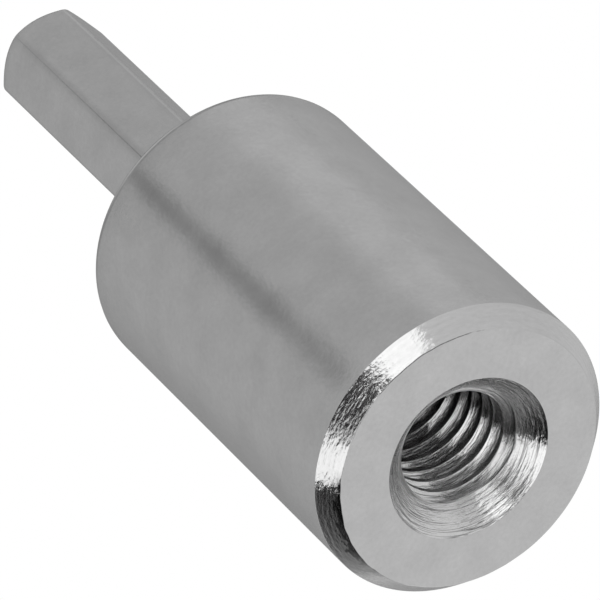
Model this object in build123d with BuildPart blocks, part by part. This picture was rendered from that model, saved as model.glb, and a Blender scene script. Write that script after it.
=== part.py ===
"""Hanger bolt driver, turned from one bar of steel, in millimetres.

The tool stands on its flat front face, threaded mouth down, with its axis on Z.
The origin is the centre of the front face, and +Z points along the hex shank.
A drill chuck holds the shank, and the hole takes the machine thread of a hanger bolt.
The hole is modelled as the plain bore that the tap follows, without the fine thread.
"""

import os
from math import radians, tan

from build123d import *

# Round body
body_diameter = 18.5
body_length = 29.0
back_edge_radius = 1.0

# Chamfer turned on the front edge, steeper than 45 degrees
front_chamfer_width = 0.95
front_chamfer_height = 1.25

# Blind hole tapped M8 x 1.25, drilled with a twist drill and countersunk
tap_drill_diameter = 6.8
tap_drill_depth = 21.0
drill_point_angle = 118.0
countersink_diameter = 10.3
countersink_angle = 90.0

# Hex shank that fits a quarter inch chuck
shank_across_flats = 6.25
shank_length = 24.0
shank_edge_radius = 0.3
shank_end_diameter = 5.2
shank_end_angle = 45.0

# Sizes that follow from the ones above
body_radius = body_diameter / 2
face_radius = body_radius - front_chamfer_width
bore_radius = tap_drill_diameter / 2
countersink_radius = countersink_diameter / 2
countersink_depth = (countersink_radius - bore_radius) / tan(radians(countersink_angle / 2))
drill_point_height = bore_radius / tan(radians(drill_point_angle / 2))
total_length = body_length + shank_length
shank_end_radius = shank_end_diameter / 2
chamfer_reach = shank_across_flats
chamfer_drop = chamfer_reach * tan(radians(shank_end_angle))

with BuildPart() as driver:
    # Body: half of its section, with the front chamfer, turned about the axis
    with BuildSketch(Plane.XZ):
        with BuildLine():
            Polyline(
                (0, 0),
                (face_radius, 0),
                (body_radius, front_chamfer_height),
                (body_radius, body_length),
                (0, body_length),
                close=True,
            )
        make_face()
    revolve(axis=Axis.Z)
    back_edge = driver.edges().filter_by(GeomType.CIRCLE).sort_by(Axis.Z)[-1]
    fillet(back_edge, radius=back_edge_radius)

    # Hex shank, with the soft edges of drawn bar and two corners on the Y axis
    with BuildSketch(Plane.XY.offset(body_length)) as shank_section:
        RegularPolygon(shank_across_flats / 2, side_count=6, major_radius=False, rotation=30)
        fillet(shank_section.vertices(), radius=shank_edge_radius)
    extrude(amount=shank_length)

    # Shank end: everything outside a cone is turned away, which curves the flats' ends
    with BuildSketch(Plane.XZ):
        with BuildLine():
            Polyline(
                (shank_end_radius, total_length),
                (shank_end_radius + chamfer_reach, total_length),
                (shank_end_radius + chamfer_reach, total_length - chamfer_drop),
                close=True,
            )
        make_face()
    revolve(axis=Axis.Z, mode=Mode.SUBTRACT)

    # Hole: countersunk mouth, tap drill bore and the cone that the drill point leaves
    with BuildSketch(Plane.XZ):
        with BuildLine():
            Polyline(
                (0, 0),
                (countersink_radius, 0),
                (bore_radius, countersink_depth),
                (bore_radius, tap_drill_depth),
                (0, tap_drill_depth + drill_point_height),
                close=True,
            )
        make_face()
    revolve(axis=Axis.Z, mode=Mode.SUBTRACT)

driver.part.label = "hanger_bolt_driver"

os.makedirs("parts", exist_ok=True)
export_step(driver.part, "parts/hanger_bolt_driver.step")

box = driver.part.bounding_box()
print(f"hanger bolt driver: {len(driver.solids())} solid, {driver.part.volume:.1f} mm3")
print(f"size {box.size.X:.2f} x {box.size.Y:.2f} x {box.size.Z:.2f} mm")
print(f"wall beside the countersink {face_radius - countersink_radius:.2f} mm")
print(f"steel behind the drill point {body_length - tap_drill_depth - drill_point_height:.2f} mm")
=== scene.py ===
# %% [markdown]
# # A hanger bolt driver
#
# This little tool spins hanger bolts into wood. It is turned from one bar of steel: a round body, a
# flat front face with a chamfered edge, a countersunk and tapped blind hole, and a slim hex shank
# for the drill chuck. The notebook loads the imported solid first, and then builds a finer skin over
# it, with the real thread in the hole, the turning marks that the lathe leaves, and the soft zinc
# finish. Lengths are written in millimetres, as a maker reads them, and become metres in one place.

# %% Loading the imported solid
from math import atan2, ceil, cos, pi, radians, sin, sqrt, tan

import bmesh
import bpy
from mathutils import Matrix, Vector


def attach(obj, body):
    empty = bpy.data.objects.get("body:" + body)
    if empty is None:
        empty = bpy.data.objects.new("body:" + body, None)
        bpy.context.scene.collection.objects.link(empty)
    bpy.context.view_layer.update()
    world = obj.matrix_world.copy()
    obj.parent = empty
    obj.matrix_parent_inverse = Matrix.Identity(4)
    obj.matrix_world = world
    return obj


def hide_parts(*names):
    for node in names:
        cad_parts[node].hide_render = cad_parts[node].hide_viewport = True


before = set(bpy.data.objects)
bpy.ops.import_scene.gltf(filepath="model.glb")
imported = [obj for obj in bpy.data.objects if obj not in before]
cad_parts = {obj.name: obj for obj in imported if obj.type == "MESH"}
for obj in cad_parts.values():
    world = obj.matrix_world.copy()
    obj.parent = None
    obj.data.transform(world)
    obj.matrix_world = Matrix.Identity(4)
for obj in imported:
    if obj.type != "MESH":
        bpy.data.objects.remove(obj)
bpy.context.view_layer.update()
MM = 0.001

# %% [markdown]
# ## The sizes
#
# The outside sizes are the same as the solid's, with slightly softer edges. The thread is a metric M8
# with a pitch of 1.25 mm, so the drill leaves the crests at 3.4 mm from the axis and the tap cuts its
# grooves to about 4 mm. The lead is the tap's tapered tip, which leaves the last turns shallow.

# %% Sizes in millimetres
body_radius, body_length = 9.25, 29.0
back_edge_radius = 1.0
face_radius, chamfer_height = 8.3, 1.25
mouth_radius, bore_radius, bore_depth = 5.15, 3.4, 21.0
drill_point_half_angle = radians(59)
pitch, groove_depth, root_flat, crest_softness = 1.25, 0.62, 1.25 / 8, 0.07
flank_angle = radians(30)
lead_end, lead_length = 19.0, 3.5
across_flats, shank_length = 6.25, 24.0
shank_edge_radius, shank_end_radius, shank_end_softness = 0.45, 2.6, 0.3
shank_end_angle = radians(45)
total_length = body_length + shank_length
edge_softness, edge_burr = 0.08, 0.05
burr_side = radians(235)
columns = 192
weld_distance = 0.0005
print("overall length", total_length, "mm, thread turns in the hole", round(bore_depth / pitch, 1))

# %% [markdown]
# ## The tapped hole
#
# A thread is one groove that climbs round the bore, so it follows a rule and Geometry Nodes can make
# it. The tree starts from a flat grid. One side of the grid is wrapped round the axis and the other
# becomes depth, and each row is also lifted by one pitch on its way round, so the rows run along the
# groove and its edges stay crisp. A curve spreads the rows over crest, flank and root. The countersink
# is a cone that wins wherever it is wider than the thread, and the tap's tapered lead is a cone that
# wins wherever it is narrower, which is how the real cutters leave it.

# %% A small helper for node trees
class Wired:
    """A socket that adds a Math node for each sum that is written with it."""

    def __init__(self, board, socket):
        self.board, self.socket = board, socket

    def __add__(self, other):
        return self.board.math("ADD", self, other)

    def __radd__(self, other):
        return self.board.math("ADD", other, self)

    def __sub__(self, other):
        return self.board.math("SUBTRACT", self, other)

    def __rsub__(self, other):
        return self.board.math("SUBTRACT", other, self)

    def __mul__(self, other):
        return self.board.math("MULTIPLY", self, other)

    def __truediv__(self, other):
        return self.board.math("DIVIDE", self, other)


class Board:
    """Adds nodes to a tree: node() takes a type, its settings and the values or links of its inputs."""

    def __init__(self, tree):
        self.tree = tree

    def plug(self, socket, value):
        if isinstance(value, Wired):
            self.tree.links.new(value.socket, socket)
        elif value is not None:
            socket.default_value = value

    def node(self, kind, settings=None, **values):
        made = self.tree.nodes.new(kind)
        for name, value in (settings or {}).items():
            setattr(made, name, value)
        for name, value in values.items():
            key = int(name[1:]) if name[0] == "_" and name[1:].isdigit() else name.replace("_", " ")
            self.plug(made.inputs[key], value)
        return made

    def out(self, made, name=0):
        return Wired(self, made.outputs[name])

    def math(self, operation, *values):
        made = self.node("ShaderNodeMath", {"operation": operation})
        for socket, value in zip(made.inputs, values):
            self.plug(socket, value)
        return self.out(made)

    def grey(self, value):
        return self.out(self.node("ShaderNodeCombineColor", None, Red=value, Green=value, Blue=value))

    def low(self, a, b):
        return self.math("MINIMUM", a, b)

    def high(self, a, b):
        return self.math("MAXIMUM", a, b)

    def between(self, a, low, high):
        return self.low(self.high(a, low), high)

    def rise(self, value, start, length):
        """0 up to a start, rising to 1 over a length."""
        return self.between((value - start) / length, 0.0, 1.0)

    def fall(self, value, end, length):
        """1 at first, falling over a length to 0 at an end."""
        return self.between((end - value) / length, 0.0, 1.0)


# %% One pitch of the thread, with softened crests
def soften(section, softness, steps=3):
    """Replaces each middle corner of a section by a short arc that touches both of its sides."""
    soft = [section[0]]
    for before, corner, after in zip(section, section[1:], section[2:]):
        b, c, a = Vector(before), Vector(corner), Vector(after)
        way_in, way_out = (c - b).normalized(), (a - c).normalized()
        turn = way_in.angle(way_out)
        start = c - way_in * softness * tan(turn / 2)
        centre = c + (way_out - way_in).normalized() * (softness / cos(turn / 2))
        arm = start - centre
        spin = 1 if way_in.cross(way_out) > 0 else -1
        for step in range(steps + 1):
            a_step = spin * turn * step / steps
            soft.append((
                centre.x + arm.x * cos(a_step) - arm.y * sin(a_step),
                centre.y + arm.x * sin(a_step) + arm.y * cos(a_step),
            ))
    return soft + [section[-1]]


half_root, half_groove = root_flat / 2, root_flat / 2 + groove_depth * tan(flank_angle)
crest_end, root_start = pitch / 2 - half_groove, pitch / 2 - half_root
half_profile = soften([(0, 0), (crest_end, 0), (root_start, groove_depth)], crest_softness)
flank_start, flank_stop = half_profile[-2:]
half_profile = half_profile[:-1] + [
    tuple(a + (b - a) * share for a, b in zip(flank_start, flank_stop)) for share in (1 / 3, 2 / 3, 1)
] + [(pitch / 2, groove_depth)]
thread_profile = half_profile + [(pitch - x, depth) for x, depth in half_profile[-2::-1]]
rows_per_turn = len(thread_profile) - 1
turns = ceil(bore_depth / pitch) + 2
print("rows in one turn of thread:", rows_per_turn)

# %% The tree that cuts the thread
hole_tree = bpy.data.node_groups.new("tapped_hole", "GeometryNodeTree")
hole_inputs = {
    "Pitch": pitch, "Crest Radius": bore_radius, "Groove Depth": groove_depth, "Depth": bore_depth,
    "Mouth Radius": mouth_radius, "Lead End": lead_end, "Lead Length": lead_length, "Start Turn": 0.0,
}
hole_tree.interface.new_socket("Geometry", in_out="INPUT", socket_type="NodeSocketGeometry")
for name, value in hole_inputs.items():
    socket = hole_tree.interface.new_socket(name, in_out="INPUT", socket_type="NodeSocketFloat")
    socket.default_value = value
for name, value in {"Columns": columns, "Turns": turns, "Rows per Turn": rows_per_turn}.items():
    socket = hole_tree.interface.new_socket(name, in_out="INPUT", socket_type="NodeSocketInt")
    socket.default_value = value
hole_tree.interface.new_socket("Finish", in_out="INPUT", socket_type="NodeSocketMaterial")
hole_tree.interface.new_socket("Geometry", in_out="OUTPUT", socket_type="NodeSocketGeometry")

board = Board(hole_tree)
given = board.node("NodeGroupInput")


def take(name):
    """The value that the tree is given under a name."""
    return board.out(given, name)


grid = board.node(
    "GeometryNodeMeshGrid", None, Size_X=1.0, Size_Y=1.0,
    Vertices_X=take("Columns") + 1, Vertices_Y=take("Turns") * take("Rows per Turn") + 1,
)
place = board.node("ShaderNodeSeparateXYZ", None, Vector=board.out(board.node("GeometryNodeInputPosition")))
around = board.out(place, "X") + 0.5
along = (board.out(place, "Y") + 0.5) * take("Turns")

# the small step keeps the first row of a turn from falling back into the turn before
whole_turns = board.math("FLOOR", along + 0.0005)


def profile_curve(heights, value):
    """A curve that reads a height off for each row of the profile, with straight lines between rows."""
    made = board.node("ShaderNodeFloatCurve", None, Value=value)
    points = made.mapping.curves[0].points
    while len(points) < len(heights):
        points.new(0.5, 0.5)
    for row, (point, height) in enumerate(zip(points, heights)):
        point.location, point.handle_type = (row / (len(heights) - 1), height), "VECTOR"
    made.mapping.update()
    return board.out(made)


row_share = along - whole_turns
share = profile_curve([x / pitch for x, _ in thread_profile], row_share)
groove = profile_curve([depth / groove_depth for _, depth in thread_profile], row_share)
height = take("Pitch") * (whole_turns + share + around - 1.0 - take("Start Turn"))
height = board.between(height, 0.0, take("Depth"))
lead = board.fall(height, take("Lead End"), take("Lead Length"))
radius = take("Crest Radius") + board.low(groove, lead) * take("Groove Depth")
radius = board.high(radius, take("Mouth Radius") - height)
angle = around * (2 * pi)
wrapped = board.node(
    "ShaderNodeCombineXYZ", None,
    X=radius * board.math("COSINE", angle) * MM, Y=radius * board.math("SINE", angle) * MM, Z=height * MM,
)
moved = board.node(
    "GeometryNodeSetPosition", None, Geometry=board.out(grid, "Mesh"), Position=board.out(wrapped)
)
welded = board.node(
    "GeometryNodeMergeByDistance", None, Geometry=board.out(moved), Distance=weld_distance * MM
)
real = board.node("GeometryNodeRealizeInstances", None, Geometry=board.out(welded))
painted = board.node("GeometryNodeSetMaterial", None, Geometry=board.out(real), Material=take("Finish"))
board.node("NodeGroupOutput", None, Geometry=board.out(painted))
print("nodes in the thread's tree:", len(hole_tree.nodes))

# %% Running the tree and taking its mesh
def add_object(name, data):
    """Makes an object of a mesh, a lamp or a camera and puts it into the scene."""
    made = bpy.data.objects.new(name, data)
    bpy.context.scene.collection.objects.link(made)
    return made


def run_tree(tree, name, **values):
    """Runs a Geometry Nodes tree on an empty mesh and returns the plain mesh that it makes."""
    holder = add_object(name, bpy.data.meshes.new(name))
    modifier = holder.modifiers.new(name, "NODES")
    modifier.node_group = tree
    for item in tree.interface.items_tree:
        if item.item_type == "SOCKET" and item.in_out == "INPUT" and item.name in values:
            modifier[item.identifier] = values[item.name]
    seen = holder.evaluated_get(bpy.context.evaluated_depsgraph_get())
    made = bpy.data.meshes.new_from_object(seen)
    bpy.data.objects.remove(holder)
    return made


thread_start = 0.393
machined = bpy.data.materials.new("machined_steel")
satin = bpy.data.materials.new("zinc_plated_steel")
hole_mesh = run_tree(hole_tree, "tapped_hole", **{"Start Turn": thread_start, "Finish": machined})
print("faces in the tapped hole:", len(hole_mesh.polygons))

# %% [markdown]
# ## The outside
#
# Everything else is a stack of rings with the same number of points, joined by quads. Most rings are
# plain circles of the turned section. On the shank the points move to the outline of a hexagon with
# softened edges, where they crowd together so that the edges stay round. The section's own corners get
# a very small radius, since a real edge is never perfectly sharp and catches a line of light.

# %% The turned section, with softened corners
def between_points(start, end, steps):
    """Evenly spaced points from start up to, but not including, end."""
    return [tuple(s + (e - s) * i / steps for s, e in zip(start, end)) for i in range(steps)]


side_start = 3
front_corners = [
    (mouth_radius, 0), (face_radius, 0), (body_radius, chamfer_height), (body_radius, side_start)
]
front = soften(front_corners, edge_softness)
back_arc = [
    (body_radius - back_edge_radius * (1 - cos(a)), body_length - back_edge_radius * (1 - sin(a)))
    for a in [radians(90) * i / 8 for i in range(9)]
]
section = between_points(front[0], front[1], 6) + front[1:4]
section += between_points(front[4], front[5], 6) + front[5:-1]
section += between_points(front[-1], back_arc[0], 8) + back_arc
print("rings in the turned section:", len(section))


# %% The outline of the hexagon
def hexagon_outline():
    """The shank's section as one point for each column, column 0 being the middle of the +X flat."""
    apothem = across_flats / 2
    flat_end = (apothem - shank_edge_radius) * tan(radians(30))
    half = [(apothem, flat_end * share) for share in (0, 0.25, 0.45, 0.62, 0.76, 0.87, 0.94, 0.98, 1)]
    for step in range(1, 9):
        a = radians(30) * step / 8
        half.append((
            apothem - shank_edge_radius * (1 - cos(a)), flat_end + shank_edge_radius * sin(a)
        ))
    side = [(x, -y) for x, y in half[:0:-1]] + half[:-1]
    outline = []
    for k in range(6):
        c, s = cos(radians(60 * k)), sin(radians(60 * k))
        outline += [(x * c - y * s, x * s + y * c) for x, y in side]
    first = len(half) - 1
    return outline[first:] + outline[:first]


hexagon = hexagon_outline()
corner_reach = max(Vector(point).length for point in hexagon)
print("points in the hexagon:", len(hexagon), "half across corners", round(corner_reach, 3))

# %% Stacking the rings
def burr(angle):
    """A slight raggedness, from -1 to 1, that fades out on one side of the tool."""
    waves = sin(11 * angle + 1.0) + sin(17 * angle + 2.1) + sin(31 * angle + 0.4) + sin(47 * angle + 5.2)
    return waves / 4 * (1 + cos(angle - burr_side)) / 2


def circle(r, z, ragged=0.0):
    spots = []
    for k in range(columns):
        angle = 2 * pi * k / columns
        reach = r + ragged * burr(angle)
        spots.append((reach * cos(angle), reach * sin(angle), z))
    return spots


def blended(ring_a, ring_b, share):
    return [tuple(a + (b - a) * share for a, b in zip(p, q)) for p, q in zip(ring_a, ring_b)]


rings = [circle(r, z, edge_burr if abs(r - face_radius) < 0.1 else 0.0) for r, z in section]
shank_foot = [(x, y, body_length) for x, y in hexagon]
rings += [blended(rings[-1], shank_foot, share) for share in (0.35, 0.7)]


def softened_end(share):
    """The ring where the soft edge between the flats and the end cone has made a share of its turn."""
    whole_turn = radians(90) - shank_end_angle
    a = whole_turn * share
    ring = []
    for x, y in hexagon:
        reach = Vector((x, y)).length
        corner = total_length - (reach - shank_end_radius) * tan(shank_end_angle)
        inward = shank_end_softness * (1 - cos(a))
        ring.append((
            x * (1 - inward / reach), y * (1 - inward / reach),
            corner + shank_end_softness * (sin(a) - tan(whole_turn / 2)),
        ))
    return ring


shank_top = softened_end(0)
end_rings = [softened_end(share) for share in (0.25, 0.5, 0.75, 1)]
up_the_shank = (0, 0.02, 0.2, 0.4, 0.6, 0.8, 0.98, 1)
rings += [blended(shank_foot, shank_top, share) for share in up_the_shank] + end_rings
end_circle = [
    (x / Vector((x, y)).length * shank_end_radius, y / Vector((x, y)).length * shank_end_radius, total_length)
    for x, y in hexagon
]
rings += [blended(end_rings[-1], end_circle, share) for share in (0.5, 1)]
rings += [blended(end_circle, [(0, 0, total_length)] * columns, share) for share in (0.3, 0.7)]

drill_cone_height = bore_radius / tan(drill_point_half_angle)
cone_rings = [
    circle(bore_radius * (1 - share), bore_depth + drill_cone_height * share) for share in (0, 0.3, 0.6, 0.85)
]


def stack(shell, ring_list, pole):
    """Joins rings by quads and closes the last one with a fan round the pole."""
    rows = [[shell.verts.new(Vector(p) * MM) for p in ring] for ring in ring_list]
    for low_row, high_row in zip(rows, rows[1:]):
        for k in range(columns):
            n = (k + 1) % columns
            shell.faces.new((low_row[k], low_row[n], high_row[n], high_row[k]))
    tip = shell.verts.new(Vector(pole) * MM)
    for k in range(columns):
        shell.faces.new((rows[-1][k], rows[-1][(k + 1) % columns], tip))


# %% [markdown]
# ### One closed skin
#
# The real tool is one piece of steel with no seam, so the hole, the outside and the cone that the drill
# point left are welded where their rings of points meet. Separate pieces that only touch would look the
# same, but a closed skin can be measured: it has no open edge, and its volume is the steel's. Each face
# then gets its finish, and only true corners are shaded sharp.

# %% One closed skin
shell = bmesh.new()
shell.from_mesh(hole_mesh)
stack(shell, rings, (0, 0, total_length))
stack(shell, cone_rings, (0, 0, bore_depth + drill_cone_height))
bmesh.ops.remove_doubles(shell, verts=shell.verts, dist=weld_distance * MM)
bmesh.ops.recalc_face_normals(shell, faces=shell.faces)
open_edges = sum(1 for e in shell.edges if len(e.link_faces) != 2)
volume = shell.calc_volume() / MM**3
burr_room = 0.12
above_face = 1e-4


def is_cut_bright(face):
    """True where a cutter left bare bright steel: the front chamfer, the countersink and the hole."""
    c = face.calc_center_median() / MM
    r = sqrt(c.x**2 + c.y**2)
    in_hole = r < mouth_radius and above_face < c.z < bore_depth + drill_cone_height
    on_chamfer = r > face_radius - burr_room and above_face < c.z < chamfer_height
    return in_hole or on_chamfer


for face in shell.faces:
    face.smooth = True
    face.material_index = 0 if is_cut_bright(face) else 1

driver_mesh = bpy.data.meshes.new("driver_skin")
for finish in (machined, satin):
    driver_mesh.materials.append(finish)
shell.to_mesh(driver_mesh)
shell.free()
sharpest_smooth = radians(34)
driver_mesh.set_sharp_from_angle(angle=sharpest_smooth)
driver = add_object("driver_skin", driver_mesh)
driver_mesh.calc_loop_triangles()
print("open edges", open_edges, "volume", round(volume, 1), "mm3, triangles", len(driver_mesh.loop_triangles))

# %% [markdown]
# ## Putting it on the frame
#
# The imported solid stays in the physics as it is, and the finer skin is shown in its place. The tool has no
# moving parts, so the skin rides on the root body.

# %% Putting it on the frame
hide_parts("hanger_bolt_driver")
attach(driver, "root")
print("skin in place of the solid:", driver.name)

# %% [markdown]
# ## Two finishes
#
# The tool shows two kinds of surface. The body, the flat face and the shank are a soft, slightly cloudy
# grey, like zinc plating. The chamfer, the countersink and the thread are brighter, with fine marks that
# run round the axis, as if they were cut last. Both could be image textures, but patterns that are
# worked out in the material stay sharp at any distance and need no unwrapping. Each material reads the
# object's own coordinates, so the marks stay on the metal.

# %% A board for materials
class Finish(Board):
    """The node tree of one material, with a Principled shader that is ready to be fed."""

    def __init__(self, material):
        material.use_nodes = True
        super().__init__(material.node_tree)
        self.tree.nodes.clear()
        self.surface = self.node("ShaderNodeBsdfPrincipled")
        self.output = self.node("ShaderNodeOutputMaterial", None, Surface=self.out(self.surface))

    def feed(self, name, value):
        self.plug(self.surface.inputs[name], value)

    def noise(self, vector, scale, detail):
        return self.out(self.node(
            "ShaderNodeTexNoise", None, Vector=vector, Scale=scale, Detail=detail, Roughness=0.5
        ))

    def bump(self, distance, height):
        return self.out(self.node("ShaderNodeBump", None, Strength=1.0, Distance=distance, Height=height))

    def read_place(self):
        """Reads the object's coordinates, whole and in parts, and the distance from the turning axis."""
        self.where = self.out(self.node("ShaderNodeTexCoord"), "Object")
        parts = self.node("ShaderNodeSeparateXYZ", None, Vector=self.where)
        self.x, self.y, self.z = (self.out(parts, axis) for axis in "XYZ")
        self.reach = self.math("SQRT", self.x * self.x + self.y * self.y)
        # the axis itself has no direction, so the distance that others are divided by is never 0
        self.safe_reach = self.high(self.reach, 1e-5)

    def facing(self, degrees):
        """1 where the surface lies in a direction from the axis, falling to -1 on the opposite side."""
        a = radians(degrees)
        return (self.x * cos(a) + self.y * sin(a)) / self.safe_reach


# %% [markdown]
# ### Soft zinc
#
# Zinc plating is metal, so Metallic is full and the grey is its Base Color. What makes it look plated and not
# painted is how unevenly it shines: broad, faint clouds and a very fine grain, each a noise pattern, change
# the tone and the roughness a little, and a bump of about a hundredth of a millimetre bends the reflections.
# A plain grey with one roughness would look like plastic. One side of the shank, and most of all its two
# edges, is painted a little darker: a painted shade that dims the lines of light that those edges mirror.

# %% The satin zinc
skin = Finish(satin)
skin.read_place()
zinc_grey, zinc_roughness, zinc_relief = 0.45, 0.21, 1.5e-6
up_the_tool = skin.z / MM
clouds = skin.noise(skin.where, 420.0, 4.0)
grain = skin.noise(skin.where, 3500.0, 2.0)

# the flat that faces 300 degrees round from +X, and the two edges beside it up to the shank's end
painted_shade_flat = skin.rise(skin.facing(300), 0.7, 0.125) * skin.rise(up_the_tool, body_length, 1.0)
painted_shade_edges = skin.rise(skin.reach / MM, 3.38, 0.12) * skin.fall(up_the_tool, 52.0, 3.0)

zinc_tone = zinc_grey + (clouds - 0.5) * 0.11 + (grain - 0.5) * 0.06
# painted shade: the flat that faces 300 degrees, and most of all its two edges, come out darker
zinc_tone = zinc_tone * (1 - painted_shade_flat * (painted_shade_edges * 0.07 + 0.05))
skin.feed("Base Color", skin.grey(zinc_tone))
skin.feed("Metallic", 1.0)
skin.feed("Roughness", zinc_roughness + (clouds - 0.5) * 0.08)
skin.feed("Normal", skin.bump(zinc_relief, clouds * 24 + grain * 3))
print("nodes in the zinc:", len(skin.tree.nodes))

# %% [markdown]
# ### Bright cut steel
#
# A turning tool leaves marks that are long round the axis and very short across it. A noise pattern
# does the same when it is read from stretched coordinates: the direction round the axis is multiplied
# by a small number, so the pattern changes slowly that way, and the height by a large one. Three such
# patterns are used. Long rings and fine rings are the feed marks, and chatter is the shorter, deeper
# flecks where the cutter shook. The places where the long rings pass their middle value become thin
# dark scores. In the hole, the coordinate also leans with the distance from the axis, so that the marks
# are fine on the slopes of the thread too.
#
# Marks that fine also smear a reflection across themselves, which the shader's Anisotropic does. It is
# a constant, set on the socket, and so is the turn of a quarter that points the smear across the marks.
#
# No hand-fed cut is even all the way round, so a few places differ. The chamfer's inner edge is ragged on one
# side, and a dark band along it there is painted shade. Next to it the cutter left a rougher patch, with a
# narrow dark patch that is a painted reflection, and the far side of the chamfer is painted darker, a painted
# shade. The countersink is painted lighter on one side, a painted light, and it is rougher towards its
# throat. Each place is a share from 0 to 1, found from the direction and the distance from the axis.

# %% Where each cut is, as shares from 0 to 1
cut = Finish(machined)
cut.read_place()
from_axis, depth = cut.reach / MM, cut.z / MM

# 6 mm from the axis lies on the flat face, between the countersink and the chamfer
on_chamfer = cut.rise(from_axis, 6.0, 0.5)
on_cone = cut.between(1.5 - cut.math("ABSOLUTE", from_axis + depth - mouth_radius) * 12, 0.0, 1.0)
in_thread = (1 - on_chamfer) * (1 - on_cone)
# past its first turn the thread is lighter, partly the brighter bare steel of the thread and partly painted
# light that lifts the light bounced round inside the hole
inner_turns = cut.rise(depth, 1.9, 1.2) * in_thread
mouth_wear = cut.fall(depth, 5.3, 4.0) * in_thread
# painted shade: the steel in the hole grows darker with depth
painted_depth_shade = cut.rise(depth, 1.8, 6.0)
cone_throat = cut.fall(from_axis, 4.9, 1.2) * on_cone
print("nodes that find the cuts:", len(cut.tree.nodes))

# %% Places that differ from the rest of the cut
# directions are in degrees round from +X, and the numbers after them set how far each place reaches
# painted shade: a dark, ragged band along the chamfer's inner edge on one side
edge_shade_side = cut.between((cut.facing(211) - 0.9) * 14, 0.0, 1.0) * on_chamfer
# painted light: the countersink is lighter on the side that faces 298 degrees
painted_light_side = cut.between(cut.facing(298), 0.0, 1.0) * on_cone
rough_patch = cut.between((cut.facing(262) - 0.94) * 16, 0.0, 1.0) * on_chamfer
# painted reflection: a narrow dark patch on the chamfer round 257 degrees
painted_dark_reflection = cut.between((cut.facing(257) - 0.985) * 80, 0.0, 1.0) * on_chamfer
# painted shade: the chamfer is darker on its far side, round 10 degrees
painted_far_shade = cut.between(cut.facing(10), 0.0, 1.0) * on_chamfer
print("nodes with the uneven places:", len(cut.tree.nodes))

# %% The cutter's marks
across_cut = cut.z - (1 - on_chamfer) * cut.reach * 1.2


def round_the_axis(per_radian, per_metre):
    """Coordinates that stretch a pattern round the axis, with its steps per radian and per metre."""
    x_share, y_share = cut.x / cut.safe_reach, cut.y / cut.safe_reach
    made = cut.node(
        "ShaderNodeCombineXYZ", None,
        X=x_share * per_radian, Y=y_share * per_radian, Z=across_cut * per_metre,
    )
    return cut.out(made)


long_rings = cut.noise(round_the_axis(0.5, 2600.0), 1.0, 1.0)
fine_rings = cut.noise(round_the_axis(2.0, 6500.0), 1.0, 1.0)
chatter = cut.noise(round_the_axis(7 + on_chamfer * 12, 4200 + on_chamfer * 2300), 1.0, 3.0)
score = cut.between(1 - cut.math("ABSOLUTE", long_rings - 0.5) / 0.035, 0.0, 1.0) * (1 - on_chamfer)
print("nodes in the marks:", len(cut.tree.nodes))

# %% The bright cut steel
steel_grey, steel_roughness, steel_relief = 0.49, 0.16, 1.0e-5
edge_shade_reach = 8.62 + (chatter - 0.5) * 1.3
painted_edge_shade = cut.fall(from_axis, edge_shade_reach, 0.12) * edge_shade_side
steel_tone = steel_grey + on_cone * 0.05 + painted_light_side * 0.3 + inner_turns * 0.16
steel_tone = steel_tone + (fine_rings - 0.5) * 0.06 + (chatter - 0.5) * 0.08
darker_places = ((score, 0.6), (painted_depth_shade, 0.4), (painted_edge_shade, 0.7), (painted_far_shade, 0.15), (painted_dark_reflection, 0.4))
for darker_place, darkening in darker_places:
    steel_tone = steel_tone * (1 - darker_place * darkening)
cut.feed("Base Color", cut.grey(steel_tone))
cut.feed("Metallic", 1.0)
cut.feed("Roughness", steel_roughness - on_chamfer * 0.02 + cone_throat * 0.12 + mouth_wear * 0.11)
cut.feed("Anisotropic", 0.95)
cut.feed("Anisotropic Rotation", 0.25)
chatter_height = 2.6 + on_cone * 2.2 + rough_patch * 4.0
ridges = fine_rings * 0.8 + long_rings * (1.5 + on_cone * 2.0) + chatter * chatter_height - score * 0.3
cut.feed("Normal", cut.bump(steel_relief, ridges))
print("nodes in the cut steel:", len(cut.tree.nodes))

# %% [markdown]
# ## The floor
#
# The tool stands on its front face on a sheet of plain pale paper, which keeps its soft shadow. The
# camera looks up at the threaded mouth from under that sheet, so the paper is opaque from above and
# clear from below: the Backfacing output tells the two sides apart. The sheet lies a hair under the
# face, and it hides nothing from the lights.

# %% The paper sheet
paper = bpy.data.materials.new("pale_paper")
sheet = Finish(paper)
sheet.feed("Base Color", (0.86, 0.86, 0.86, 1))
sheet.feed("Roughness", 0.9)
from_below = sheet.out(sheet.node("ShaderNodeNewGeometry"), "Backfacing")
clear = sheet.out(sheet.node("ShaderNodeBsdfTransparent"))
two_sided = sheet.node("ShaderNodeMixShader", None, _0=from_below, _1=sheet.out(sheet.surface), _2=clear)
sheet.plug(sheet.output.inputs["Surface"], sheet.out(two_sided))

floor_reach, floor_drop = 2.0, 2e-5
floor_mesh = bpy.data.meshes.new("floor")
signs = ((-1, -1), (1, -1), (1, 1), (-1, 1))
floor_corners = [(sx * floor_reach, sy * floor_reach, -floor_drop) for sx, sy in signs]
floor_mesh.from_pydata(floor_corners, [], [(0, 1, 2, 3)])
floor_mesh.materials.append(paper)


def hide_from(obj, kinds):
    """Hides an object from some kinds of ray."""
    for kind in kinds:
        setattr(obj, "visible_" + kind, False)


floor = add_object("floor", floor_mesh)
hide_from(floor, ("diffuse", "glossy", "transmission", "volume_scatter", "shadow"))
print("floor side in metres:", 2 * floor_reach)

# %% [markdown]
# ## The world
#
# The background is white, and bright metal is only as bright as what it mirrors, so a mirrored ray has
# to see that white as well. The Light Path node tells which kind of ray is asking: the camera's own,
# a glossy or a transmission ray sees a strength of exactly 1, and the soft light on the paper is a
# little less.

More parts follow.
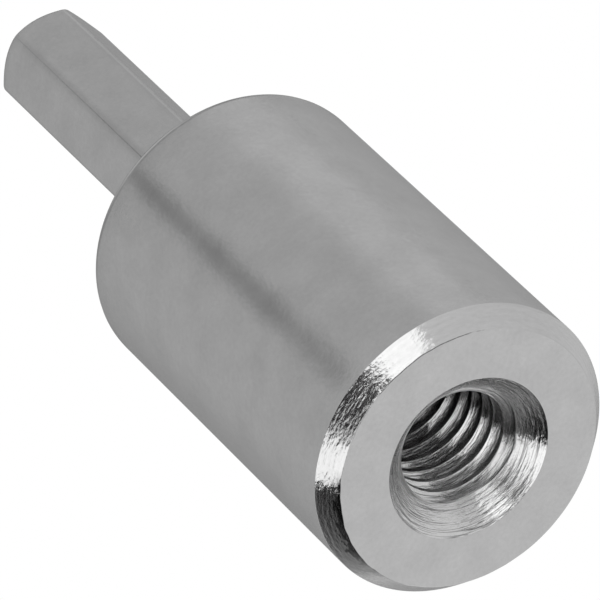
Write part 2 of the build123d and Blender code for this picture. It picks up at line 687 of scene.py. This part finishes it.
# %% The studio's surroundings
world = bpy.data.worlds.new("studio")
bpy.context.scene.world = world
world.use_nodes = True
sky = Board(world.node_tree)
sky.tree.nodes.clear()
rays = sky.node("ShaderNodeLightPath")
ray_kinds = ("Is Camera Ray", "Is Glossy Ray", "Is Transmission Ray")
on_camera, on_glossy, on_clear = (sky.out(rays, kind) for kind in ray_kinds)
seen_white = sky.high(sky.high(on_camera, on_glossy), on_clear)
plain = 0.7
shine = sky.node("ShaderNodeBackground", None, Color=(1, 1, 1, 1), Strength=seen_white * (1 - plain) + plain)
sky.node("ShaderNodeOutputWorld", None, Surface=sky.out(shine))
print("plain level of the world:", plain)

# %% [markdown]
# ## The camera
#
# A long lens from nearly half a metre away keeps the sides of the tool almost parallel, as in a
# catalogue picture. The camera stands below and in front, and it is rolled so that the shank points to
# the upper left. Its place, the way it looks and the way that is up for it are given outright, which
# is plainer than a chain of turns.

# %% Placing the camera
camera_data = bpy.data.cameras.new("camera")
camera = add_object("camera", camera_data)
bpy.context.scene.camera = camera
camera_data.lens, camera_data.sensor_width = 494.94, 36.0
camera_data.clip_start, camera_data.clip_end = 0.01, 10.0
camera_place = Vector((42.296, -313.132, -343.445)) * MM
forward = Vector((-0.08808, 0.65020, 0.75464)).normalized()
rolled_up = Vector((0.78623, -0.41978, 0.45346))
right = forward.cross(rolled_up).normalized()
up = right.cross(forward)
camera_turn = Matrix((right, up, -forward)).transposed().to_4x4()
camera.matrix_world = Matrix.Translation(camera_place) @ camera_turn
print("camera is", round(camera_place.length, 3), "m from the front face")

# %% [markdown]
# ## What the metal mirrors
#
# Polished metal has almost no look of its own: it shows its surroundings. A photographer stands white
# softboxes and black cards round a metal tool, and each flat or cone mirrors one direction of them.
# Here the cards are patches of a sphere round the tool, which glow with a set tone and are seen by
# reflections only, so they change neither the background nor the light on the floor. Lamps could do
# it too, but a lamp shines through a card that casts no shadow, while glowing patches hide each
# other as real cards do.
#
# A card's place is given as degrees to the side and up from a centre direction. For the front cards
# that centre is the camera, and for the others a direction in the sky.

# %% Directions round the tool
middle = Vector((0, 0, total_length / 2)) * MM


def chart(centre, side, above):
    """A function that gives the direction so many degrees to the side of, and above, a centre direction."""
    def direction(sideways, upward):
        swing = radians(sqrt(sideways**2 + upward**2))
        turn = atan2(upward, sideways)
        return centre * cos(swing) + (side * cos(turn) + above * sin(turn)) * sin(swing)
    return direction


def sky_chart(azimuth, elevation):
    """A chart round a direction in the sky: degrees round from +X, and degrees up from the floor."""
    a, e = radians(azimuth), radians(elevation)
    centre = Vector((cos(e) * cos(a), cos(e) * sin(a), sin(e)))
    side = Vector((sin(a), -cos(a), 0))
    return chart(centre, side, side.cross(centre))


from_camera = chart(-forward, right, up)
print("20 degrees above the camera lies", [round(part, 2) for part in from_camera(0, 20)])

# %% How a card fades at its edges
def smooth(face, share):
    """A share from 0 to 1, eased at both ends."""
    share = face.between(share, 0.0, 1.0)
    return share * share * (3 - share * 2)


def soft_edges(feather):
    """Full cover in the middle that fades to nothing at the edges, over a share of the card."""
    def cover(face, u, v):
        return smooth(face, face.low(face.low(u, 1 - u), face.low(v, 1 - v)) / feather)
    return cover


def from_middle(face, u, v):
    """How far a spot is from the middle of the card, 1 being the middle of a side."""
    across, along = u * 2 - 1, v * 2 - 1
    return face.math("SQRT", across * across + along * along)


def soft_round(face, u, v):
    """Full cover in the middle that fades to nothing at a round edge."""
    return smooth(face, 1 - from_middle(face, u, v))


def streak(face, u, v):
    """A streak that is narrow at the top and spreads downwards."""
    core = smooth(face, 1 - face.math("ABSOLUTE", u * 2 - 1) / (0.85 - v * 0.6))
    ends = face.between(face.low(v, 1 - v) * 6, 0.0, 1.0)
    return core * ends * (0.55 + v * 0.35)


# %% How bright a card is where its tone changes
def lens_tone(face, u, v):
    """Almost black, and a little lighter to the right."""
    return 0.01 + u * u * 0.08


def camera_tone(face, u, v):
    """Almost black, and a dark grey in the upper left."""
    return 0.02 + smooth(face, (v - 0.2) / 0.35) * face.between((0.95 - u) * 5, 0.0, 1.0) * 0.05


def left_tone(face, u, v):
    """Black at the top, lighter towards the bottom and the left."""
    down = 1 - v
    return 0.005 + down * down * down * 0.6 + face.high(0.35 - u, 0.0) * 1.0


def ceiling_tone(face, u, v):
    """Light over the middle, a darker ring round it, and a mid tone further out."""
    reach = from_middle(face, u, v) * ceiling_reach
    ring = face.between(1 - face.math("ABSOLUTE", reach - 24) / 13, 0.0, 1.0)
    far = face.rise(reach, 6, 10)
    return 0.87 - far * 0.18 - ring * 0.32


# %% Making one card
def card(name, toward, corners, distance, tone, cover):
    """A patch of a sphere round the tool, from its four corners in a chart, that glows with a tone."""
    steps = 12
    low_left, low_right, high_right, high_left = (Vector(corner) for corner in corners)
    spots, shares = [], []
    for j in range(steps + 1):
        for i in range(steps + 1):
            u, v = i / steps, j / steps
            at = low_left.lerp(low_right, u).lerp(high_left.lerp(high_right, u), v)
            spots.append(middle + toward(*at) * distance)
            shares.append((u, v))
    row = steps + 1
    quads = [(k, k + 1, k + row + 1, k + row) for k in range(steps * row) if (k + 1) % row]
    mesh = bpy.data.meshes.new(name)
    mesh.from_pydata(spots, [], quads)
    layer = mesh.uv_layers.new(name="card")
    for loop in mesh.loops:
        layer.data[loop.index].uv = shares[loop.vertex_index]

    paint = bpy.data.materials.new(name)
    paint.use_nodes = True
    face = Board(paint.node_tree)
    face.tree.nodes.clear()
    place = face.out(face.node("ShaderNodeUVMap", {"uv_map": "card"}))
    parts = face.node("ShaderNodeSeparateXYZ", None, Vector=place)
    u, v = face.out(parts, "X"), face.out(parts, "Y")
    changes = callable(tone)
    glow = face.node(
        "ShaderNodeEmission", None,
        Color=face.grey(tone(face, u, v)) if changes else (1, 1, 1, 1), Strength=1.0 if changes else tone,
    )
    gap = face.node("ShaderNodeBsdfTransparent")
    both = face.node(
        "ShaderNodeMixShader", None, _0=cover(face, u, v), _1=face.out(gap), _2=face.out(glow)
    )
    face.node("ShaderNodeOutputMaterial", None, Surface=face.out(both))
    mesh.materials.append(paint)

    made = add_object(name, mesh)
    hide_from(made, ("camera", "diffuse", "transmission", "volume_scatter", "shadow"))
    return made


def square(side_reach):
    """The corners of a square card, from its middle to the middle of a side."""
    return [(sx * side_reach, sy * side_reach) for sx, sy in signs]


# %% [markdown]
# Two softboxes light the chamfer, the countersink and the thread, with a dark gap between them where
# the camera stands. The darker cards beside and below them make the black patches that bright steel
# shows. The ceiling, the back, the streak and the side light shape the broad bands on the zinc body.

# %% Standing the cards round the tool
ceiling_reach = 60
lower_corners = [(-66, -58), (24, -40), (8, 4), (-58, -31)]
upper_corners = [(-48, 22), (8, 2.5), (17.5, 14), (2, 60)]
camera_corners = [(-75, -40), (-6, -7), (3, 8), (-60, 36)]
lens_corners = [(17, -44), (56, -40), (53, 20), (4, 3)]
left_corners = [(-62, -140), (34, -125), (28, -50), (-82, -53)]
band_corners = [(-21, -14), (16, -14), (16, 10), (-21, 10)]
side_corners = [(-16, -20), (22, -20), (22, 20), (-16, 20)]
cards = [
    card("lower_softbox", from_camera, lower_corners, 0.60, 1.8, soft_edges(0.03)),
    card("upper_softbox", from_camera, upper_corners, 0.60, 2.0, soft_edges(0.03)),
    card("camera_shade", from_camera, camera_corners, 0.55, camera_tone, soft_edges(0.06)),
    card("lens_shade", from_camera, lens_corners, 0.55, lens_tone, soft_edges(0.1)),
    card("left_shade", from_camera, left_corners, 0.55, left_tone, soft_edges(0.04)),
    card("ceiling", sky_chart(254, 89.9), square(ceiling_reach), 0.70, ceiling_tone, soft_edges(0.05)),
    card("back_shade", sky_chart(104, 49), square(60), 0.50, 0.32, soft_round),
    card("band", sky_chart(255, 47), band_corners, 0.13, 0.2, streak),
    card("side_light", sky_chart(355, 49), side_corners, 0.50, 0.82, soft_edges(0.3)),
]
print("cards placed:", len(cards))

# %% [markdown]
# ## A lamp for the shadow
#
# The world alone would light the paper evenly. One large lamp, high and to one side, gives the
# tool a soft shadow on it. Reflections don't see the lamp, so it adds no bright shape to the metal.

# %% The floor lamp
lamp_data = bpy.data.lights.new("floor_lamp", "AREA")
lamp_data.shape, lamp_data.size, lamp_data.size_y = "RECTANGLE", 0.5, 0.4
lamp_data.energy = 0.9
lamp = add_object("floor_lamp", lamp_data)
lamp_place = Vector((-0.35, -0.45, 0.75))
lamp_turn = lamp_place.to_track_quat("Z", "Y").to_matrix().to_4x4()
lamp.matrix_world = Matrix.Translation(lamp_place) @ lamp_turn
hide_from(lamp, ("camera", "glossy"))
print("lamp is", round(lamp_place.length, 2), "m away")

# %% [markdown]
# ## Finishing
#
# The view transform is set so that a colour renders about as it is written.

# %% Finishing
bpy.context.scene.view_settings.view_transform = "Standard"
